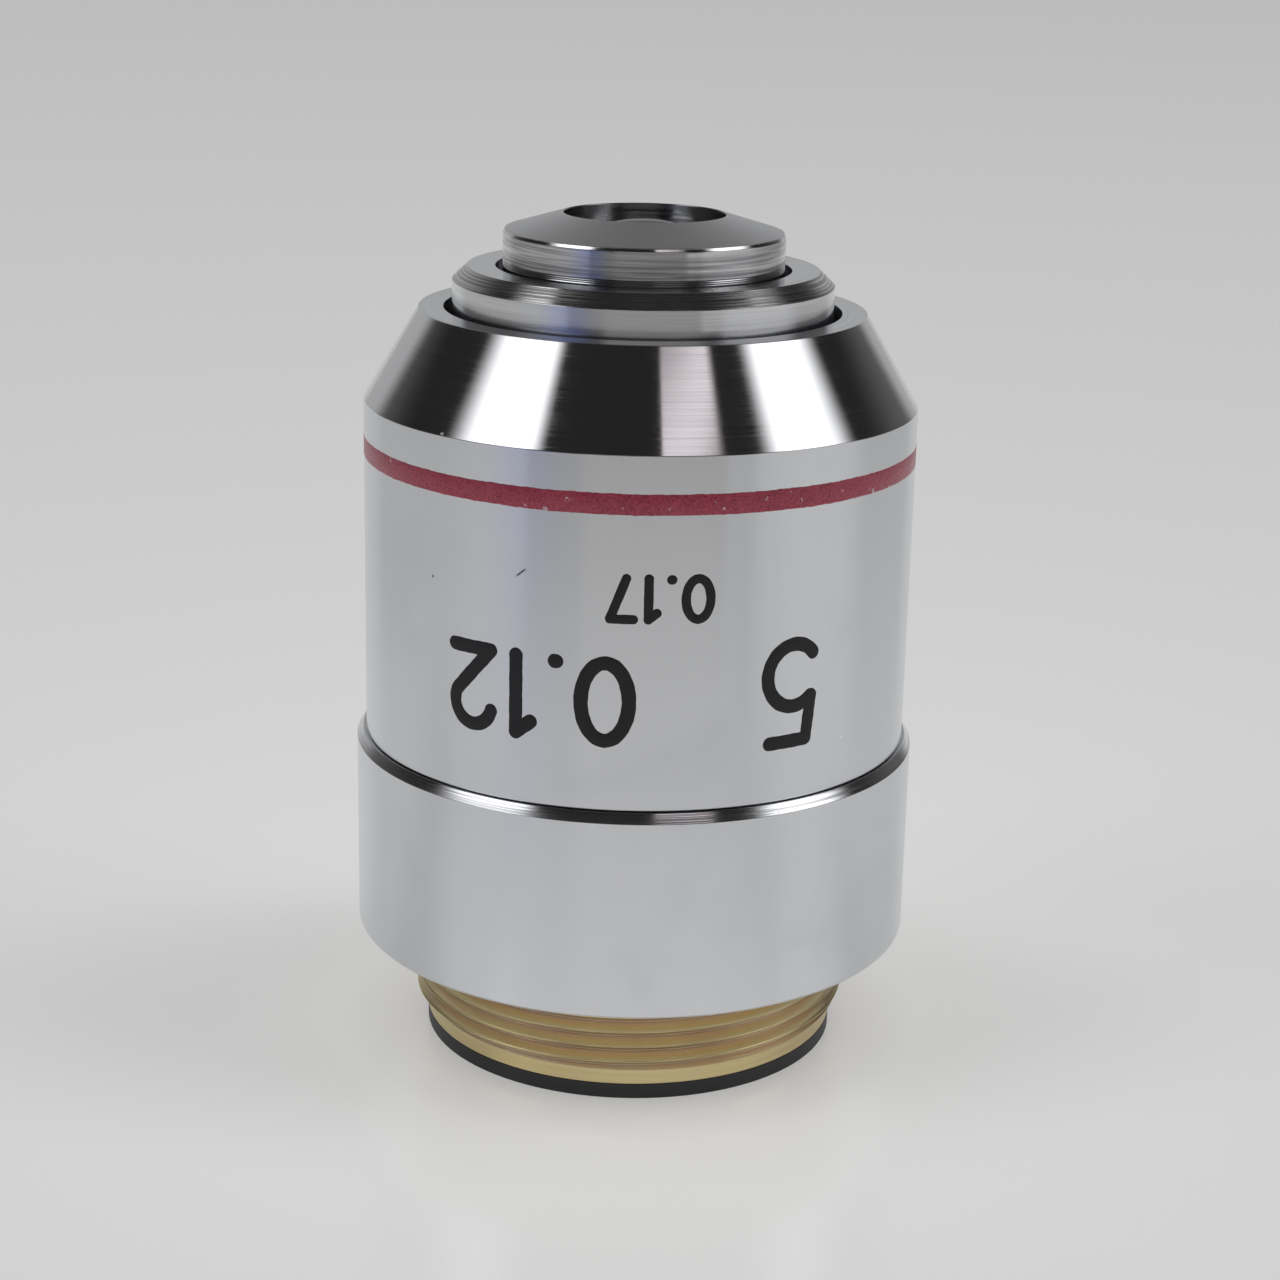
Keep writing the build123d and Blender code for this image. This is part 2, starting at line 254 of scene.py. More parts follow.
def makeSatinChrome():
    # fine satin plate, with a scratch, a dot and a bright speck on the sleeve
    material, tree, shader = startMaterial("satinChrome", Metallic=1.0,
                                           Specular_Tint=colour(*satin["edgeTint"]))
    lines = useGroup(tree, turnedLines, **satin["lines"])
    grain = useGroup(tree, fineGrain, **satin["grain"])
    haze = useGroup(tree, handlingHaze, **satin["haze"])
    scratch, dot, speck = (useGroup(tree, wallMark, **mark) for mark in sleeveMarks.values())
    texture = mixed(tree, satin["grainShare"], lines, grain)
    tone = mixed(tree, haze, colour(*satin["light"]), colour(*satin["dull"]))
    tone = mixed(tree, satin["textureShare"], tone, texture, blend="OVERLAY")
    tone = mixed(tree, sums(tree, "MAXIMUM", scratch, dot), tone, colour(*markTones["dark"]))
    tone = mixed(tree, speck, tone, colour(*markTones["bare"]))
    dress(tree, shader, tone, ramped(tree, texture, 0.0, 1.0, *satin["roughness"]))
    bumped(tree, shader, texture, satin["relief"])
    blurDownTheWall(tree, shader, satin["stretch"])
    return material


polish = dict(
    tint=(0.80, 0.795, 0.80), hazeTint=(0.74, 0.735, 0.745), roughness=(0.06, 0.13), stretch=0.5,
    relief=0.0000001, lineShare=0.12, nickRoughness=0.8,
    lines=dict(perMetre=16000.0, drift=90.0), haze=dict(perMetre=300.0, cover=0.4),
)
coneNick = dict(angle=-0.728, height=0.02480, halfLength=0.00011, halfWidth=0.00006)


def makePolishedChrome():
    # turned and buffed: clear reflections, with the tool's rings just showing
    material, tree, shader = startMaterial("polishedChrome", Metallic=1.0)
    lines = useGroup(tree, turnedLines, **polish["lines"])
    haze = useGroup(tree, handlingHaze, **polish["haze"])
    nick = useGroup(tree, wallMark, **coneNick)
    tone = mixed(tree, polish["lineShare"], colour(*polish["tint"]), lines, blend="OVERLAY")
    tone = mixed(tree, haze, tone, colour(*polish["hazeTint"]))
    tone = mixed(tree, nick, tone, colour(*markTones["bare"]))
    roughness = ramped(tree, lines, 0.0, 1.0, *polish["roughness"])
    roughness = sums(tree, "MAXIMUM", roughness, sums(tree, "MULTIPLY", nick, polish["nickRoughness"]))
    dress(tree, shader, tone, roughness)
    bumped(tree, shader, lines, polish["relief"])
    blurDownTheWall(tree, shader, polish["stretch"])
    return material


# plated straight off the lathe: streak is where, among the lines, dull rings turn into bright ones
collarWall = dict(
    bright=(0.80, 0.805, 0.815), dull=(0.71, 0.715, 0.73), streak=(0.0, 1.0), roughness=(0.14, 0.22),
    lines=dict(perMetre=12000.0, drift=150.0), relief=0.0000003,
)
collarBevel = dict(
    bright=(0.82, 0.82, 0.82), dull=(0.40, 0.395, 0.39), streak=(0.45, 0.85), roughness=(0.10, 0.32),
    lines=dict(perMetre=13000.0, drift=60.0), relief=0.0000030,
)
baseChamfer = dict(
    bright=(0.82, 0.82, 0.825), dull=(0.55, 0.55, 0.56), streak=(0.25, 0.80), roughness=(0.10, 0.27),
    lines=dict(perMetre=17000.0, drift=70.0), relief=0.0000009,
)
ringFace = dict(
    bright=(0.82, 0.825, 0.835), dull=(0.72, 0.725, 0.74), streak=(0.0, 1.0), roughness=(0.09, 0.18),
    lines=dict(perMetre=12000.0, drift=150.0), relief=0.0000002,
)
noseWall = dict(
    bright=(0.72, 0.72, 0.73), dull=(0.36, 0.36, 0.37), streak=(0.20, 0.95), roughness=(0.10, 0.26),
    lines=dict(perMetre=9000.0, drift=220.0), relief=0.0000012,
)
turnedStretch = 0.8


def makeTurnedChrome(name, finish):
    # rings of unlike polish and height, which break a reflection into streaks round the axis
    material, tree, shader = startMaterial(name, Metallic=1.0)
    lines = useGroup(tree, turnedLines, **finish["lines"])
    streak = ramped(tree, lines, *finish["streak"])
    tone = mixed(tree, streak, colour(*finish["dull"]), colour(*finish["bright"]))
    dress(tree, shader, tone, ramped(tree, streak, 1.0, 0.0, *finish["roughness"]))
    bumped(tree, shader, lines, finish["relief"])
    blurDownTheWall(tree, shader, turnedStretch)
    return material


noseSlope = dict(
    light=(0.92, 0.92, 0.925), dull=(0.80, 0.80, 0.81), metallic=1.0, roughness=(0.27, 0.36),
    lines=dict(perMetre=12000.0, drift=200.0), grain=dict(perMetre=18000.0), grainShare=0.65, relief=0.0000010,
)
blackSurface = dict(
    lines=dict(perMetre=7000.0, drift=100.0), grain=dict(perMetre=14000.0), grainShare=0.5, relief=0.0000015,
)
anodising = dict(
    light=(0.030, 0.030, 0.033), dull=(0.012, 0.012, 0.014), metallic=0.0, roughness=(0.40, 0.55),
    **blackSurface,
)
blackening = dict(
    light=(0.09, 0.075, 0.055), dull=(0.035, 0.030, 0.026), metallic=0.8, roughness=(0.35, 0.50),
    **blackSurface,
)


def makeGrainyMetal(name, finish):
    # blasted, anodised or chemically blackened: fine grain with the lathe's rings under it
    material, tree, shader = startMaterial(name, Metallic=finish["metallic"])
    lines = useGroup(tree, turnedLines, **finish["lines"])
    grain = useGroup(tree, fineGrain, **finish["grain"])
    texture = mixed(tree, finish["grainShare"], lines, grain)
    tone = mixed(tree, texture, colour(*finish["dull"]), colour(*finish["light"]))
    dress(tree, shader, tone, ramped(tree, texture, 0.0, 1.0, *finish["roughness"]))
    bumped(tree, shader, texture, finish["relief"])
    return material


brass = dict(
    bright=(0.73, 0.61, 0.33), groove=(0.71, 0.57, 0.42), tarnish=(0.67, 0.49, 0.34), tarnishShare=0.35,
    lineShare=0.15, roughness=(0.26, 0.40), relief=0.0000008,
    pilotFade=0.04,         # millimetres under the thread's foot over which the brass turns bright
    lines=dict(perMetre=9000.0, drift=120.0), haze=dict(perMetre=420.0, cover=0.5),
)


def makeBareBrass(rootRadius, crestRadius, threadFoot):
    # tarnish gathers in the thread's grooves, and the crests and the pilot are rubbed bright
    material, tree, shader = startMaterial("bareBrass", Metallic=1.0)
    x, y, z = objectAxes(tree)
    radius = hypotenuse(tree, x, y)
    crest = ramped(tree, radius, rootRadius * mm, crestRadius * mm, kind="SMOOTHSTEP")
    pilot = ramped(tree, z, threadFoot * mm, (threadFoot - brass["pilotFade"]) * mm)
    rubbed = sums(tree, "MAXIMUM", crest, pilot)
    lines = useGroup(tree, turnedLines, **brass["lines"])
    haze = useGroup(tree, handlingHaze, **brass["haze"])
    tone = mixed(tree, rubbed, colour(*brass["groove"]), colour(*brass["bright"]))
    tone = mixed(tree, brass["lineShare"], tone, lines, blend="OVERLAY")
    tarnished = sums(tree, "MULTIPLY", haze, brass["tarnishShare"])
    tone = mixed(tree, tarnished, tone, colour(*brass["tarnish"]))
    dress(tree, shader, tone, ramped(tree, lines, 0.0, 1.0, *brass["roughness"]))
    bumped(tree, shader, lines, brass["relief"])
    return material


enamel = dict(
    deep=(0.30, 0.026, 0.068), light=(0.62, 0.082, 0.126), mottle=(0.56, 0.10, 0.15), mottleShare=0.4,
    fleck=(0.74, 0.50, 0.52), flecksPerMetre=2300.0, fleckFrom=0.985, roughness=(0.24, 0.38), refraction=1.5,
    grain=dict(perMetre=9000.0), haze=dict(perMetre=900.0, cover=0.6), relief=0.000004,
)


def makeRedEnamel():
    # baked enamel in a groove, slightly mottled, with dust-fine pits and a few pale flecks
    material, tree, shader = startMaterial("redEnamel", IOR=enamel["refraction"])
    grain = useGroup(tree, fineGrain, **enamel["grain"])
    haze = useGroup(tree, handlingHaze, **enamel["haze"])
    specks = useGroup(tree, fineGrain, perMetre=enamel["flecksPerMetre"])
    tone = mixed(tree, grain, colour(*enamel["deep"]), colour(*enamel["light"]))
    mottled = sums(tree, "MULTIPLY", haze, enamel["mottleShare"])
    tone = mixed(tree, mottled, tone, colour(*enamel["mottle"]))
    fleck = ramped(tree, specks, enamel["fleckFrom"], 1.0)
    tone = mixed(tree, fleck, tone, colour(*enamel["fleck"]))
    dress(tree, shader, tone, ramped(tree, grain, 0.0, 1.0, *enamel["roughness"]))
    bumped(tree, shader, grain, enamel["relief"])
    return material


ink = dict(
    deep=(0.008, 0.008, 0.010), light=(0.022, 0.022, 0.026), roughness=(0.45, 0.65), refraction=1.45,
    grain=dict(perMetre=12000.0), relief=0.000004,
)


def makeMarkingInk():
    # matt lacquer filled into the marking
    material, tree, shader = startMaterial("markingInk", IOR=ink["refraction"])
    grain = useGroup(tree, fineGrain, **ink["grain"])
    tone = mixed(tree, grain, colour(*ink["deep"]), colour(*ink["light"]))
    dress(tree, shader, tone, ramped(tree, grain, 0.0, 1.0, *ink["roughness"]))
    bumped(tree, shader, grain, ink["relief"])
    return material


glass = dict(
    clear=(0.97, 0.985, 1.0), dusty=(0.92, 0.94, 0.97), roughness=(0.005, 0.05), refraction=1.52,
    dust=dict(perMetre=700.0, cover=0.25),
)


def makeLensGlass():
    # clear glass, with a breath of dust in its roughness
    material, tree, shader = startMaterial("lensGlass", IOR=glass["refraction"], Transmission_Weight=1.0)
    dust = useGroup(tree, handlingHaze, **glass["dust"])
    tone = mixed(tree, dust, colour(*glass["clear"]), colour(*glass["dusty"]))
    dress(tree, shader, tone, ramped(tree, dust, 0.0, 1.0, *glass["roughness"]))
    return material


# Turned pieces

def roundedOutline(corners, arcSteps=6):
    # Rounds every corner of a closed (radius, height) outline. At a corner the normal turns evenly from one
    # edge's to the next one's, and the point follows it round a circle that touches both edges.
    points = np.array([corner[:2] for corner in corners])
    rounding = np.array([corner[2] for corner in corners])
    leaving = np.roll(points, -1, axis=0) - points
    leaving /= np.linalg.norm(leaving, axis=1, keepdims=True)
    arriving = np.roll(leaving, 1, axis=0)
    sine = arriving[:, 0] * leaving[:, 1] - arriving[:, 1] * leaving[:, 0]
    turn = np.arctan2(sine, (arriving * leaving).sum(axis=1))
    share = np.linspace(0.0, 1.0, arcSteps)
    facing = np.arctan2(-arriving[:, 0], arriving[:, 1])[:, None] + turn[:, None] * share
    normals = np.stack([np.cos(facing), np.sin(facing)], axis=-1)
    bend = (np.sign(turn) * rounding)[:, None]
    start = points - arriving * (rounding * np.tan(np.abs(turn) / 2))[:, None]
    arcs = (start - bend * normals[:, 0])[:, None] + bend[:, None] * normals
    return arcs.reshape(-1, 2), normals.reshape(-1, 2)


def spun(outline, columns):
    # Carries (radius, height) pairs round the axis: x = r cos a, y = r sin a, z = height
    angle = np.linspace(0.0, 2 * np.pi, columns, endpoint=False)
    radius, height = outline[:, 0:1], outline[:, 1:2]
    flat = np.ones(columns)
    return np.stack([radius * np.cos(angle), radius * np.sin(angle), height * flat], axis=-1)


def gridFaces(rows, columns, closedRows):
    # quads between neighbouring rows, closed round the columns, and closed across the rows where asked
    index = np.arange(rows * columns).reshape(rows, columns)
    low = index if closedRows else index[:-1]
    high = np.roll(index, -1, axis=0) if closedRows else index[1:]
    quads = np.stack([low, np.roll(low, -1, axis=1), np.roll(high, -1, axis=1), high], axis=-1)
    return quads.reshape(-1, 4)


def meshPiece(name, points, faces, materials, body="root", normals=None, finish=None):
    mesh = bpy.data.meshes.new(name)
    mesh.from_pydata(points.tolist(), [], faces)
    for material in materials:
        mesh.materials.append(material)
    if finish is not None:
        mesh.polygons.foreach_set("material_index", np.asarray(finish, dtype=np.int32))
    mesh.polygons.foreach_set("use_smooth", np.ones(len(faces), dtype=bool))
    if normals is not None:
        mesh.normals_split_custom_set_from_vertices(normals.tolist())
    mesh.update()
    piece = bpy.data.objects.new(name, mesh)
    bpy.context.scene.collection.objects.link(piece)
    if body:
        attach(piece, body)
    return piece


def turnedPiece(name, corners, materials, columns=256):
    # corners hold (radius, height, rounding, finish)
    # a corner's finish is a place in the list of materials, and covers its arc and the edge after it
    outline, normals = roundedOutline(corners)
    rows = len(outline)
    finish = np.repeat([corner[3] for corner in corners], rows // len(corners) * columns)
    grid = spun(outline, columns) * mm
    faces = gridFaces(rows, columns, closedRows=True).tolist()
    return meshPiece(name, grid.reshape(-1, 3), faces, materials,
                     normals=spun(normals, columns).reshape(-1, 3), finish=finish)


edge = 0.03         # rounding of a broken sharp edge, in millimetres
hidden = 0.02       # and of an edge that doesn't show

# Base with its thread
base = dict(
    chamferFoot=8.95, chamferTop=12.61, spigotRadius=11.38, threadBore=9.42, floor=1.0, rearBore=8.6,
    pilotRadius=9.64, flangeChamfer=0.15, seatDrop=0.02, ledgeDrop=0.04, ledgeInset=0.08, columns=320,
    rounding=dict(pilot=0.06, shoulder=0.05, flangeUnder=0.04, flangeSide=0.08, chamferFoot=0.04,
                  chamferTop=0.03),
)
thread = dict(
    crest=10.16, root=9.708, pitch=0.7056, foot=-3.93, top=-0.1, frontCrest=-2.61, rows=116,
    runout=(-0.42, -0.16), sharpness=0.93,
)
satinFinish, polishFinish, brassFinish = 0, 1, 2        # places in the base's list of materials


def threadRadius(angle, height):
    # A rounded V that climbs one pitch a turn: root + depth * wave(height / pitch - angle / turn).
    # It is cut back at 45 degrees at the foot and fades into a relief groove under the flange.
    phase = (height - thread["frontCrest"]) / thread["pitch"] - (angle + np.pi / 2) / (2 * np.pi)
    sharp = thread["sharpness"]
    wave = 0.5 + np.arcsin(sharp * np.cos(2 * np.pi * phase)) / (2 * np.arcsin(sharp))
    fade = np.clip((thread["runout"][1] - height) / (thread["runout"][1] - thread["runout"][0]), 0.0, 1.0)
    rise = (thread["crest"] - thread["root"]) * wave * fade**2 * (3 - 2 * fade)
    return thread["root"] + np.minimum(rise, np.maximum(height - thread["foot"], 0.0))


def threadGrid():
    # the thread's surface on a grid of height and angle, with its normal from the slope each way
    height = np.linspace(thread["foot"], thread["top"], thread["rows"])[:, None]
    angle = np.linspace(0.0, 2 * np.pi, base["columns"], endpoint=False)[None, :]
    step = 0.001            # millimetres up, radians round
    radius = threadRadius(angle, height)
    climb = (threadRadius(angle, height + step) - threadRadius(angle, height - step)) / (2 * step)
    swing = (threadRadius(angle + step, height) - threadRadius(angle - step, height)) / (2 * step * radius)
    points = np.stack([radius * np.cos(angle), radius * np.sin(angle), height + 0 * radius], axis=-1)
    normals = np.stack([np.cos(angle) + swing * np.sin(angle),
                        np.sin(angle) - swing * np.cos(angle), -climb], axis=-1)
    return points, normals / np.linalg.norm(normals, axis=-1, keepdims=True)


def makeBase(materials):
    # a turned outline from the pilot's rear bore outwards, with the thread's grid set into it
    rounding = base["rounding"]
    ledge = sleeveFoot - base["ledgeDrop"]
    corners = [
        (base["rearBore"], pilotEnd, hidden, brassFinish),
        (base["pilotRadius"], pilotEnd, rounding["pilot"], brassFinish),
        (base["pilotRadius"], thread["foot"], hidden, brassFinish),
        (thread["root"], thread["foot"], hidden, brassFinish),
        (thread["root"], 0.0, rounding["shoulder"], satinFinish),
        (baseRadius - base["flangeChamfer"], 0.0, rounding["flangeUnder"], satinFinish),
        (baseRadius, base["flangeChamfer"], rounding["flangeSide"], satinFinish),
        (baseRadius, base["chamferFoot"], rounding["chamferFoot"], polishFinish),
        (base["chamferTop"], sleeveFoot - base["seatDrop"], rounding["chamferTop"], satinFinish),
        (sleeveRadius - base["ledgeInset"], ledge, hidden, satinFinish),
        (base["spigotRadius"], ledge, hidden, satinFinish),
        (base["spigotRadius"], spigotTop, hidden, satinFinish),
        (base["threadBore"], spigotTop, hidden, satinFinish),
        (base["threadBore"], base["floor"], hidden, satinFinish),
        (base["rearBore"], base["floor"], hidden, satinFinish),
    ]
    outline, outlineNormals = roundedOutline(corners)
    columns = base["columns"]
    steps = len(outline) // len(corners)
    threadStart = 4 * steps         # rows of the four corners below the thread
    cut, cutNormals = threadGrid()
    grid = np.insert(spun(outline, columns), threadStart, cut, axis=0) * mm
    normals = np.insert(spun(outlineNormals, columns), threadStart, cutNormals, axis=0)
    rowFinish = np.insert(np.repeat([corner[3] for corner in corners], steps), threadStart,
                          np.full(len(cut), brassFinish))
    faces = gridFaces(len(grid), columns, closedRows=True).tolist()
    piece = meshPiece("threadedBase", grid.reshape(-1, 3), faces, materials,
                      normals=normals.reshape(-1, 3), finish=np.repeat(rowFinish, columns))
    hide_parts("base")


# Sleeve
sleeve = dict(
    bore=11.4, hole=8.91, rim=10.02, coneFoot=24.72, endWall=24.52, grooveDepth=0.15,
    footRounding=0.07, coneRounding=0.10, rimRounding=0.06,
)
faceFinish = 2          # in the sleeve's and the barrel's lists of materials


def makeSleeve(materials):
    # a turned tube with the band's groove in its wall and a cone at its front end
    groove = sleeveRadius - sleeve["grooveDepth"]
    corners = [
        (sleeve["bore"], sleeveFoot, hidden, satinFinish),
        (sleeveRadius, sleeveFoot, sleeve["footRounding"], satinFinish),
        (sleeveRadius, bandFoot, hidden, satinFinish),
        (groove, bandFoot, hidden, satinFinish),
        (groove, bandTop, hidden, satinFinish),
        (sleeveRadius, bandTop, hidden, satinFinish),
        (sleeveRadius, sleeve["coneFoot"], sleeve["coneRounding"], polishFinish),
        (sleeve["rim"], sleeveTop, sleeve["rimRounding"], faceFinish),
        (sleeve["hole"], sleeveTop, edge, satinFinish),
        (sleeve["hole"], sleeve["endWall"], hidden, satinFinish),
        (sleeve["bore"], sleeve["endWall"], hidden, satinFinish),
    ]
    piece = turnedPiece("satinSleeve", corners, materials)
    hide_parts("outer_sleeve")


# Colour band: enamel that fills the groove and creeps a little over both edges
band = dict(proud=0.006, creep=0.02, ragged=0.034, soft=0.02, columns=900)


def ragged(angle, seed):
    # a sum of sines with unlike whole numbers of waves, so that it closes round the axis
    waves = np.array([7, 19, 43, 89, 151, 233])
    size = np.array([0.18, 0.18, 0.18, 0.18, 0.16, 0.12])
    start = np.sin(waves * 12.9898 + seed * 78.233) * np.pi         # scattered by the seed
    return (size[:, None] * np.sin(waves[:, None] * angle + start[:, None])).sum(axis=0)


def makeBand(material):
    # six rows round the axis: from the groove's floor out over one edge, across, and back in over the other
    angle = np.linspace(0.0, 2 * np.pi, band["columns"], endpoint=False)
    lower = bandFoot - band["creep"] + band["ragged"] * ragged(angle, 1)
    upper = bandTop + band["creep"] + band["ragged"] * ragged(angle, 2)
    inner, outer, soft = bandRadius - sleeve["grooveDepth"], bandRadius + band["proud"], band["soft"]
    flat = np.ones(band["columns"])
    radius = np.array([inner, bandRadius, outer, outer, bandRadius, inner])[:, None] * flat
    height = np.stack([bandFoot * flat, lower, lower + soft, upper - soft, upper, bandTop * flat])
    points = np.stack([radius * np.cos(angle), radius * np.sin(angle), height], axis=-1) * mm
    faces = gridFaces(len(points), band["columns"], closedRows=True).tolist()
    piece = meshPiece("enamelBand", points.reshape(-1, 3), faces, [material])
    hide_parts("colour_band")


# Barrel and nose
barrel = dict(
    radius=8.53, bore=7.4, face=7.85, front=30.65, hole=6.605, bevelFoot=30.02, lipSeat=29.67, threadTop=16.28,
    bevelRounding=0.05,
)
nose = dict(
    radius=6.29, edge=32.115, chamferWidth=0.08, coneFoot=32.265, opening=3.6, lensBore=4.12, lensSeat=31.753,
    ridges=dict(foot=30.67, pitch=0.08, count=3, depth=0.020, rounding=0.015),
    edgeRounding=0.12, slopeRounding=0.08, tipRounding=0.05,
)
wallFinish, bevelFinish, slopeFinish = 0, 1, 2          # the slope only in the nose's list of materials


def makeBarrel(materials):
    # a turned tube with a bevelled front end and a lip that the lens stack rests against
    corners = [
        (barrel["bore"], barrelFoot, hidden, wallFinish),
        (barrelThreadRadius, barrelFoot, hidden, wallFinish),
        (barrelThreadRadius, barrel["threadTop"], hidden, wallFinish),
        (barrel["radius"], barrel["threadTop"], hidden, wallFinish),
        (barrel["radius"], barrel["bevelFoot"], barrel["bevelRounding"], bevelFinish),
        (barrel["face"], barrel["front"], barrel["bevelRounding"], faceFinish),
        (barrel["hole"], barrel["front"], edge, wallFinish),
        (barrel["hole"], barrel["lipSeat"], hidden, wallFinish),
        (barrel["bore"], barrel["lipSeat"], hidden, wallFinish),
    ]
    piece = turnedPiece("turnedBarrel", corners, materials)
    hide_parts("lens_barrel")


def makeNose(materials):
    # a flanged tube whose front slopes in to the opening
    # the tool leaves a few fine ridges above the foot of its wall
    ridges, slopeFoot = nose["ridges"], nose["radius"] - nose["chamferWidth"]
    ridgeFeet = ridges["foot"] + ridges["pitch"] * np.arange(ridges["count"])
    cuts = [(nose["radius"] - inwards, height + up, ridges["rounding"], wallFinish) for height in ridgeFeet
            for inwards, up in ((0.0, 0.0), (ridges["depth"], ridges["pitch"] / 2))]
    corners = [
        (nose["lensBore"], cellRear, hidden, wallFinish),
        (cellRadius, cellRear, hidden, wallFinish),
        (cellRadius, barrel["lipSeat"], hidden, wallFinish),
        (nose["radius"], barrel["lipSeat"], hidden, wallFinish),
        *cuts,
        (nose["radius"], ridgeFeet[-1] + ridges["pitch"], ridges["rounding"], wallFinish),
        (nose["radius"], nose["edge"], nose["edgeRounding"], bevelFinish),
        (slopeFoot, nose["coneFoot"], nose["slopeRounding"], slopeFinish),
        (nose["opening"], noseTip, nose["tipRounding"], wallFinish),
        (nose["opening"], nose["lensSeat"], hidden, wallFinish),
        (nose["lensBore"], nose["lensSeat"], hidden, wallFinish),
    ]
    piece = turnedPiece("turnedNose", corners, materials)
    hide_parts("front_cell")


# Front lens
lens = dict(curve=7.0, rows=28, columns=128)


def makeFrontLens(material):
    # flat behind, a cylinder at the rim, and a sphere in front that falls by the sag of its radius
    out = lensRadius * np.linspace(0.0, 1.0, lens["rows"] + 1)[1:]
    dome = lensFront - lens["curve"] + np.sqrt(lens["curve"]**2 - out[::-1]**2)
    outline = np.concatenate([
        np.stack([out, np.full(lens["rows"], lensRear)], axis=-1),
        np.stack([out[::-1], dome], axis=-1),
    ])
    slope = out[::-1] / lens["curve"]
    normals = np.concatenate([
        np.stack([np.zeros(lens["rows"]), np.full(lens["rows"], -1.0)], axis=-1),
        np.stack([slope, np.sqrt(1 - slope**2)], axis=-1),
    ])
    columns, rows = lens["columns"], len(outline)
    poles, poleNormals = [[0, 0, lensRear], [0, 0, lensFront]], [[0, 0, -1], [0, 0, 1]]
    points = np.concatenate([spun(outline, columns).reshape(-1, 3), poles]) * mm
    facing = np.concatenate([spun(normals, columns).reshape(-1, 3), poleNormals])
    first = np.arange(columns)
    last = first + (rows - 1) * columns
    after = np.roll(first, -1)
    rearPole, frontPole = rows * columns, rows * columns + 1
    faces = gridFaces(rows, columns, closedRows=False).tolist()
    faces += np.stack([np.full(columns, rearPole), after, first], axis=-1).tolist()
    faces += np.stack([last, np.roll(last, -1), np.full(columns, frontPole)], axis=-1).tolist()
    piece = meshPiece("domedFrontLens", points, faces, [material], normals=facing)
    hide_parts("front_lens")


# Marking: plain numbers in filled strokes, set to be read with the thread end up
marking = dict(
    capHeight=4.3, smallHeight=3.4, gap=1.0, space=4.0, middle=14.2, stroke=0.62,
    noteHeight=1.75, noteGap=0.55, noteMiddle=18.7, noteStroke=0.40, noteShift=1.0,
    proud=0.010, depth=0.05, shoulder=0.86, shoulderLift=0.3, wobble=0.035, waves=(9.1, 3.7), shift=2.3,
    step=0.12, capStart=0.12, capSteps=7, arcSteps=40,
)


def arc(x, y, halfWidth, halfHeight, start, end):
    # part of an ellipse, from one angle to another in degrees
    turn = np.radians(np.linspace(start, end, marking["arcSteps"]))
    return np.stack([x + halfWidth * np.cos(turn), y + halfHeight * np.sin(turn)], axis=-1)


def line(*points):
    return np.array(points)


# each sign is its width and its strokes, for a height of 1
signs = {
    "0": (0.60, [arc(0.30, 0.50, 0.30, 0.50, 90, 450)]),
    "1": (0.24, [line((0.20, 1.0), (0.20, 0.0)), line((0.20, 1.0), (0.0, 0.84))]),
    "2": (0.58, [np.concatenate([arc(0.29, 0.71, 0.28, 0.29, 165, -25), line((0.02, 0.0))]),
                 line((0.02, 0.0), (0.58, 0.0))]),
    "5": (0.58, [line((0.53, 1.0), (0.10, 1.0)), line((0.10, 1.0), (0.05, 0.56)),
                 arc(0.27, 0.32, 0.30, 0.32, 132, -140)]),
    "7": (0.56, [line((0.0, 1.0), (0.56, 1.0)), line((0.56, 1.0), (0.18, 0.0))]),
    ".": (0.06, [line((0.02, 0.02), (0.04, 0.02))]),
}


def strokeSolid(path, halfWidth, seed):
    # A filled stroke: the path's points plus a half width along its left normal, which closes at both
    # ends as a half circle, sqrt(w^2 - d^2). The section is a low slab with rounded shoulders. All is
    # wrapped on the sleeve by angle = along / radius.
    steps = np.linalg.norm(np.diff(path, axis=0), axis=1)
    place = np.concatenate([[0.0], np.cumsum(steps)])
    length = place[-1]

    def at(along):
        return np.stack([np.interp(along, place, path[:, way]) for way in (0, 1)], axis=-1)

    cap = np.linspace(marking["capStart"], np.pi / 2, marking["capSteps"])
    count = max(4, int(length / marking["step"]))
    run = np.concatenate([-halfWidth * np.cos(cap), np.linspace(0.0, length, count)[1:-1],
                          length + halfWidth * np.cos(cap[::-1])])
    inside = np.clip(run, 0.0, length)
    near = 0.02             # the direction is taken between points this far ahead and behind
    tangent = at(np.clip(inside + near, 0, length)) - at(np.clip(inside - near, 0, length))
    tangent /= np.linalg.norm(tangent, axis=1, keepdims=True)
    middle = at(inside) + tangent * (run - inside)[:, None]
    half = np.sqrt(np.maximum(halfWidth**2 - (run - inside)**2, 0.0))
    fast, slow = marking["waves"]
    shake = 1 + marking["wobble"] * np.sin(run * fast + seed * marking["shift"]) * np.sin(run * slow + seed)
    shoulder = marking["shoulder"]
    across = np.array([1.0, 1.0, shoulder, -shoulder, -1.0, -1.0])
    lift = np.array([-marking["depth"], marking["shoulderLift"] * marking["proud"], marking["proud"]])
    lift = np.concatenate([lift, lift[::-1]])
    left = np.stack([-tangent[:, 1], tangent[:, 0]], axis=-1)
    flat = middle[:, None] + left[:, None] * (half * shake)[:, None, None] * across[:, None]
    angle = flat[..., 0] / sleeveRadius
    radius = sleeveRadius + lift[None, :]
    points = np.stack([radius * np.sin(angle), -radius * np.cos(angle), flat[..., 1]], axis=-1) * mm
    rows, columns = points.shape[:2]
    faces = gridFaces(rows, columns, closedRows=False).tolist()
    faces.append(list(range(columns))[::-1])
    faces.append(list(range((rows - 1) * columns, rows * columns)))
    return points.reshape(-1, 3), faces


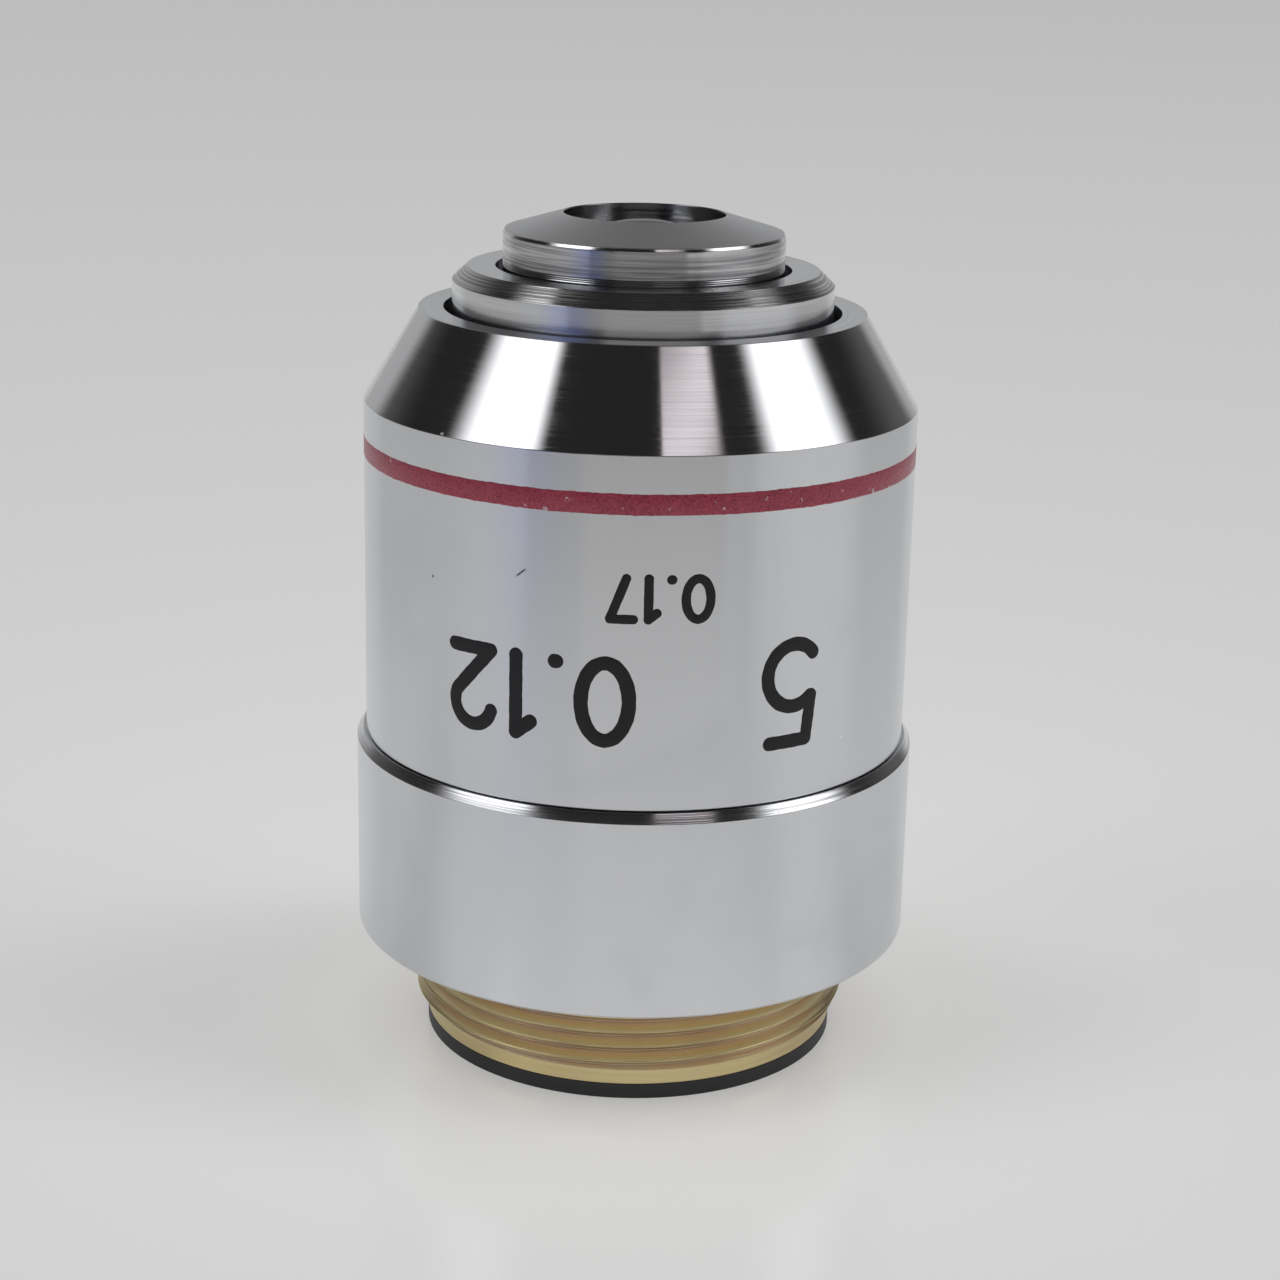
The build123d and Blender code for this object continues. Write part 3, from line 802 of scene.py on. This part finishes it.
def wordStrokes(sizes, gap, middle, shift):
    # sets signs side by side about the front, turned half round: along -> -along, up -> -up
    widths = [signs[sign][0] * size if sign in signs else size for sign, size in sizes]
    start = -(sum(widths) + gap * (len(sizes) - 1)) / 2
    strokes = []
    for (sign, size), width in zip(sizes, widths):
        for path in signs[sign][1] if sign in signs else []:
            placed = np.array([start, -size / 2]) + path * size
            strokes.append(np.array([shift, middle]) - placed)
        start += width + gap
    return strokes


def makeMarking(material):
    # a row of big numbers and a row of small ones, gathered into one mesh
    big, small, note = marking["capHeight"], marking["smallHeight"], marking["noteHeight"]
    first = [("5", big), (" ", marking["space"])] + [(sign, small) for sign in "0.12"]
    second = [(sign, note) for sign in "0.17"]
    bigPaths = wordStrokes(first, marking["gap"], marking["middle"], 0.0)
    notePaths = wordStrokes(second, marking["noteGap"], marking["noteMiddle"], marking["noteShift"])
    strokes = [(path, marking["stroke"] / 2) for path in bigPaths]
    strokes += [(path, marking["noteStroke"] / 2) for path in notePaths]
    allPoints, allFaces, count = [], [], 0
    for seed, (path, halfWidth) in enumerate(strokes):
        points, faces = strokeSolid(path, halfWidth, seed)
        allPoints.append(points)
        allFaces += [[count + corner for corner in face] for face in faces]
        count += len(points)
    meshPiece("numberMarking", np.concatenate(allPoints), allFaces, [material])


satinChrome = makeSatinChrome()
polishedChrome = makePolishedChrome()
collarChrome = makeTurnedChrome("collarChrome", collarWall)
faceChrome = makeTurnedChrome("faceChrome", ringFace)
bevelChrome = makeTurnedChrome("bevelChrome", collarBevel)
chamferChrome = makeTurnedChrome("chamferChrome", baseChamfer)
noseChrome = makeTurnedChrome("noseChrome", noseWall)
mattChrome = makeGrainyMetal("mattChrome", noseSlope)
bareBrass = makeBareBrass(thread["root"], thread["crest"], thread["foot"])
blackAnodised = makeGrainyMetal("blackAnodised", anodising)
blackenedBrass = makeGrainyMetal("blackenedBrass", blackening)
redEnamel = makeRedEnamel()
markingInk = makeMarkingInk()
lensGlass = makeLensGlass()
print("materials:", len(bpy.data.materials))

makeBase([satinChrome, chamferChrome, bareBrass])
makeSleeve([satinChrome, polishedChrome, faceChrome])
makeBand(redEnamel)
makeBarrel([collarChrome, bevelChrome, faceChrome])
makeNose([noseChrome, polishedChrome, mattChrome])
makeFrontLens(lensGlass)
makeMarking(markingInk)

# the inner pieces keep their CAD meshes
innerFinishes = {
    lensGlass: ["middle_lens", "field_lens", "rear_flint", "rear_crown"],
    blackenedBrass: ["middle_cell", "field_cell", "rear_cell", "front_lens_ring", "middle_lens_ring",
                     "field_lens_ring", "rear_lens_ring", "barrel_ring"],
    blackAnodised: ["front_spacer", "middle_spacer", "rear_spacer", "rear_stop"],
    bareBrass: ["parfocal_lock_ring"],
}
for material, nodes in innerFinishes.items():
    for node in nodes:
        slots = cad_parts[node].data.materials
        slots.clear()
        slots.append(material)


# Floor, in metres and degrees
floor = dict(
    halfWidth=4.0, albedo=0.72, white=(1.0, 1.0, 0.99), roughness=0.22, refraction=1.45,
    # painted light: the floor's glow, brighter near the part; foot and contact below are painted shadows
    # beside the part and round its foot
    farGlow=0.181, nearGlow=0.345, halfGlowAt=0.15,
    foot=dict(place=(-0.0035, 0.0), stretch=(0.7, 1.25), reach=(0.0095, 0.025), least=0.83),
    contact=dict(reach=(0.0097, 0.0138), least=0.74),
    # painted shade and painted light for what the metal mirrors: the floor it sees is darker in front of the
    # part and at both flanks, and lit bluish to the left
    shade=dict(sides=(-46.0, -42.0, 32.0, 37.0), reach=(0.08, 0.26), depth=0.64),
    flanks=dict(sides=(34.0, 48.0, 76.0, 98.0), reach=(0.090, 0.050), depth=0.13),
    tint=dict(sides=(-66.0, -44.0, -38.0, -26.0), reach=(0.14, 0.25), depth=1.0, light=(0.54, 0.61, 0.98)),
)


def floorGlow(tree, x, y, distance):
    # painted light and shadow: the floor glows, falling with distance as far + near / (1 + distance / half),
    # and a painted shadow dims it again under and beside the part
    spread = sums(tree, "ADD", 1.0, sums(tree, "DIVIDE", distance, floor["halfGlowAt"]))
    glow = sums(tree, "ADD", floor["farGlow"], sums(tree, "DIVIDE", floor["nearGlow"], spread))
    foot, contact = floor["foot"], floor["contact"]
    beside = hypotenuse(tree, *(sums(tree, "MULTIPLY", sums(tree, "SUBTRACT", way, middle), share)
                                for way, middle, share in zip((x, y), foot["place"], foot["stretch"])))
    footShade = ramped(tree, beside, *foot["reach"], foot["least"], 1.0, kind="SMOOTHSTEP")
    contactShade = ramped(tree, distance, *contact["reach"], contact["least"], 1.0)
    return sums(tree, "MULTIPLY", sums(tree, "MULTIPLY", glow, footShade), contactShade)


def floorLight(tree, x, y, distance):
    # the floor's colour: plain where the camera sees it; where metal mirrors it, sectors paint shade and a
    # bluish light on it
    azimuth = sums(tree, "DEGREES", turnFromFront(tree, x, y))
    mirrored = sums(tree, "SUBTRACT", 1.0, put(tree, "LightPath").outputs["Is Camera Ray"])
    light = colour(*floor["white"])
    dark = colour(0.0, 0.0, 0.0)
    sectors = (("tint", azimuth, colour(*floor["tint"]["light"])), ("shade", azimuth, dark),
               ("flanks", sums(tree, "ABSOLUTE", azimuth), dark))
    for name, turn, tone in sectors:
        sector = floor[name]
        far = ramped(tree, distance, *sector["reach"], 0.0, sector["depth"], kind="SMOOTHSTEP")
        side = sums(tree, "MULTIPLY", between(tree, turn, sector["sides"]), mirrored)
        light = mixed(tree, sums(tree, "MULTIPLY", far, side), light, tone)
    return light


def makeFloor():
    # one flat sheet under the part; its underside is clear, so that the part can be seen from below
    side = np.array([-floor["halfWidth"], floor["halfWidth"]])
    x, y = np.meshgrid(side, side)
    points = np.stack([x, y, np.full_like(x, rearFace * mm)], axis=-1).reshape(-1, 3)
    material, tree, shader = startMaterial("paleFloor", IOR=floor["refraction"], Roughness=floor["roughness"])
    x, y = objectAxes(tree)[:2]
    distance = hypotenuse(tree, x, y)
    light = floorLight(tree, x, y, distance)
    grey = colour(*[floor["albedo"]] * 3)
    tree.links.new(mixed(tree, 1.0, light, grey, blend="MULTIPLY"), shader.inputs["Base Color"])
    tree.links.new(light, shader.inputs["Emission Color"])
    tree.links.new(floorGlow(tree, x, y, distance), shader.inputs["Emission Strength"])
    clear = put(tree, "BsdfTransparent")
    under = put(tree, "NewGeometry").outputs["Backfacing"]
    both = put(tree, "MixShader", {0: under, 1: shader.outputs[0], 2: clear.outputs[0]})
    tree.links.new(both.outputs[0], tree.nodes["Material Output"].inputs["Surface"])
    sheet = meshPiece("floor", points, [[0, 1, 3, 2]], [material], body=None)


makeFloor()

# Studio: soft panels by azimuth, 0 towards the camera and positive to its right, and by elevation, in degrees
studio = dict(
    dark=(0.020, 0.019, 0.019), backdrop=(0.57, 0.575, 0.565),
    horizon=dict(light=(0.11, 0.11, 0.112), fade=(8.0, 24.0)),
    behind=dict(light=(0.40, 0.405, 0.41), middle=5.0, start=(135.0, 148.0), fade=(10.0, 46.0), least=0.18),
    panels=dict(
        left=dict(sides=(-95.0, -77.0, -56.0, -46.0), heights=(20.0, 30.0, 49.0, 57.0),
                  light=(1.7, 1.72, 1.75)),
        front=dict(sides=(11.0, 11.9, 38.5, 44.0), heights=(45.5, 48.0, 48.8, 54.0),
                   light=(0.97, 0.90, 0.94)),
        right=dict(sides=(58.0, 72.0, 90.0, 107.0), heights=(21.0, 29.0, 49.0, 57.0),
                   light=(1.7, 1.72, 1.75)),
        highLeft=dict(sides=(-120.0, -113.0, -99.0, -92.0), heights=(43.0, 47.0, 58.0, 63.0),
                      light=(1.0, 1.0, 1.02)),
        highRight=dict(sides=(100.0, 106.0, 118.0, 126.0), heights=(38.0, 42.0, 51.0, 56.0),
                       light=(0.62, 0.62, 0.64)),
        low=dict(sides=(44.0, 52.0, 92.0, 108.0), heights=(-9.0, -4.0, 11.0, 20.0),
                 light=(0.45, 0.45, 0.46)),
        lowFront=dict(sides=(-26.0, -20.0, 30.0, 42.0), heights=(2.0, 8.0, 20.0, 30.0),
                      light=(0.29, 0.275, 0.265)),
        blue=dict(sides=(-74.0, -50.0, -42.0, -26.0), heights=(-20.0, -10.0, 10.0, 17.0),
                  light=(0.11, 0.14, 0.33)),
    ),
)


def makeStudio():
    # every panel rises and falls over its four azimuths and its four elevations
    world = bpy.data.worlds.new("studio")
    bpy.context.scene.world = world
    world.use_nodes = True
    tree = world.node_tree
    x, y, z = put(tree, "SeparateXYZ", {0: put(tree, "TexCoord").outputs["Generated"]}).outputs
    azimuth = sums(tree, "DEGREES", turnFromFront(tree, x, y))
    elevation = sums(tree, "DEGREES", sums(tree, "ARCSINE", z))
    horizon, behind = studio["horizon"], studio["behind"]
    low = ramped(tree, elevation, horizon["fade"][1], horizon["fade"][0], kind="SMOOTHSTEP")
    light = mixed(tree, low, colour(*studio["dark"]), colour(*horizon["light"]))
    turn = sums(tree, "ABSOLUTE", sums(tree, "SUBTRACT", azimuth, behind["middle"]))
    back = ramped(tree, turn, *behind["start"], kind="SMOOTHSTEP")
    back = sums(tree, "MULTIPLY", back, ramped(tree, elevation, *behind["fade"], 1.0, behind["least"]))
    light = mixed(tree, back, light, colour(*behind["light"]))
    for panel in studio["panels"].values():
        mask = sums(tree, "MULTIPLY", between(tree, azimuth, panel["sides"]),
                    between(tree, elevation, panel["heights"]))
        light = mixed(tree, mask, light, colour(*panel["light"]))
    seen = put(tree, "LightPath").outputs["Is Camera Ray"]
    light = mixed(tree, seen, light, colour(*studio["backdrop"]))
    tree.links.new(light, tree.nodes["Background"].inputs["Color"])


makeStudio()

# Camera
camera = dict(
    place=(0.0, -114.22, 46.945), pitch=16.4221, yaw=0.0967, roll=1.2492,       # millimetres and degrees
    lens=72.06, sensor=36.0, clip=(0.005, 20.0),
)


def makeCamera():
    # looks ahead by yaw and pitch, then rolls about the line of sight
    data = bpy.data.cameras.new("camera")
    data.lens, data.sensor_width = camera["lens"], camera["sensor"]
    data.clip_start, data.clip_end = camera["clip"]
    pitch, yaw, roll = np.radians([camera["pitch"], camera["yaw"], camera["roll"]])
    ahead = Vector((np.sin(yaw) * np.cos(pitch), np.cos(yaw) * np.cos(pitch), -np.sin(pitch)))
    right = ahead.cross(Vector((0, 0, 1))).normalized()
    up = right.cross(ahead)
    rolledRight = right * np.cos(roll) + up * np.sin(roll)
    rolledUp = up * np.cos(roll) - right * np.sin(roll)
    turn = Matrix((rolledRight, rolledUp, -ahead)).transposed().to_4x4()
    eye = bpy.data.objects.new("camera", data)
    eye.matrix_world = Matrix.Translation(Vector(camera["place"]) * mm) @ turn
    bpy.context.scene.collection.objects.link(eye)
    bpy.context.scene.camera = eye


makeCamera()
bpy.context.scene.view_settings.view_transform = "Standard"
print("studio and camera set")
